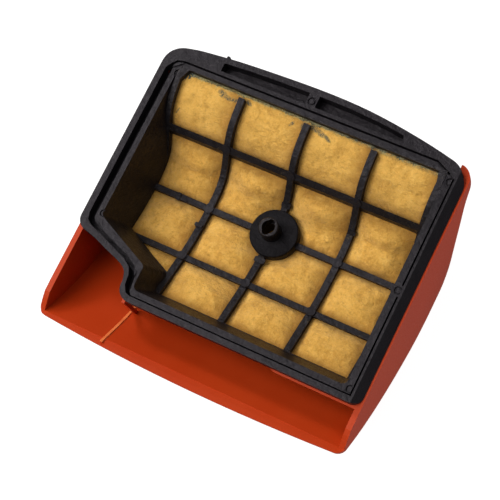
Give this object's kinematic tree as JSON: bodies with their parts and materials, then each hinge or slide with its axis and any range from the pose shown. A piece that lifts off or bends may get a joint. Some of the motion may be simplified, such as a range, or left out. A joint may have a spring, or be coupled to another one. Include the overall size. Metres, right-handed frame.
{
  "type": "air filter housing",
  "caption": "Engine air filter: black ribbed tray frame holding an arched felt element, under a glossy orange hood with an open inlet mouth, held by a captive central sleeve nut.",
  "frame": {"origin": "middle of the base: under the centre of the outline in plan, on the plane of the hood's ridge, which the part stands on", "axes": "+X along the long edges, +Y from the inlet mouth towards the crescent flange, +Z out of the seat (the open side of the tray)"},
  "size_m": [0.131, 0.1241, 0.0414],
  "materials": {
    "hood_orange": "glossy",
    "frame_black": "satin",
    "felt": "matte",
    "sleeve_dark": "satin",
    "brass_insert": "machined",
    "ring_steel": "satin",
    "seal_rubber": "matte"
  },
  "bodies": {
    "housing": {"hood": "hood_orange", "frame": "frame_black", "front_grid": "frame_black", "back_grid": "frame_black", "felt_element": "felt", "heat_stakes": "frame_black", "hub_bush": "frame_black"},
    "fastener": {"retaining_sleeve": "sleeve_dark", "thread_insert": "brass_insert", "knob": "sleeve_dark", "retaining_ring": "ring_steel", "seal_ring": "seal_rubber"}
  },
  "joints": [
    {"name": "sleeve_turn", "type": "hinge", "parent": "housing", "child": "fastener", "pos_m": [0.0001, 0.0082, 0.0134], "axis": [0, 0, 1], "continuous": true}
  ]
}
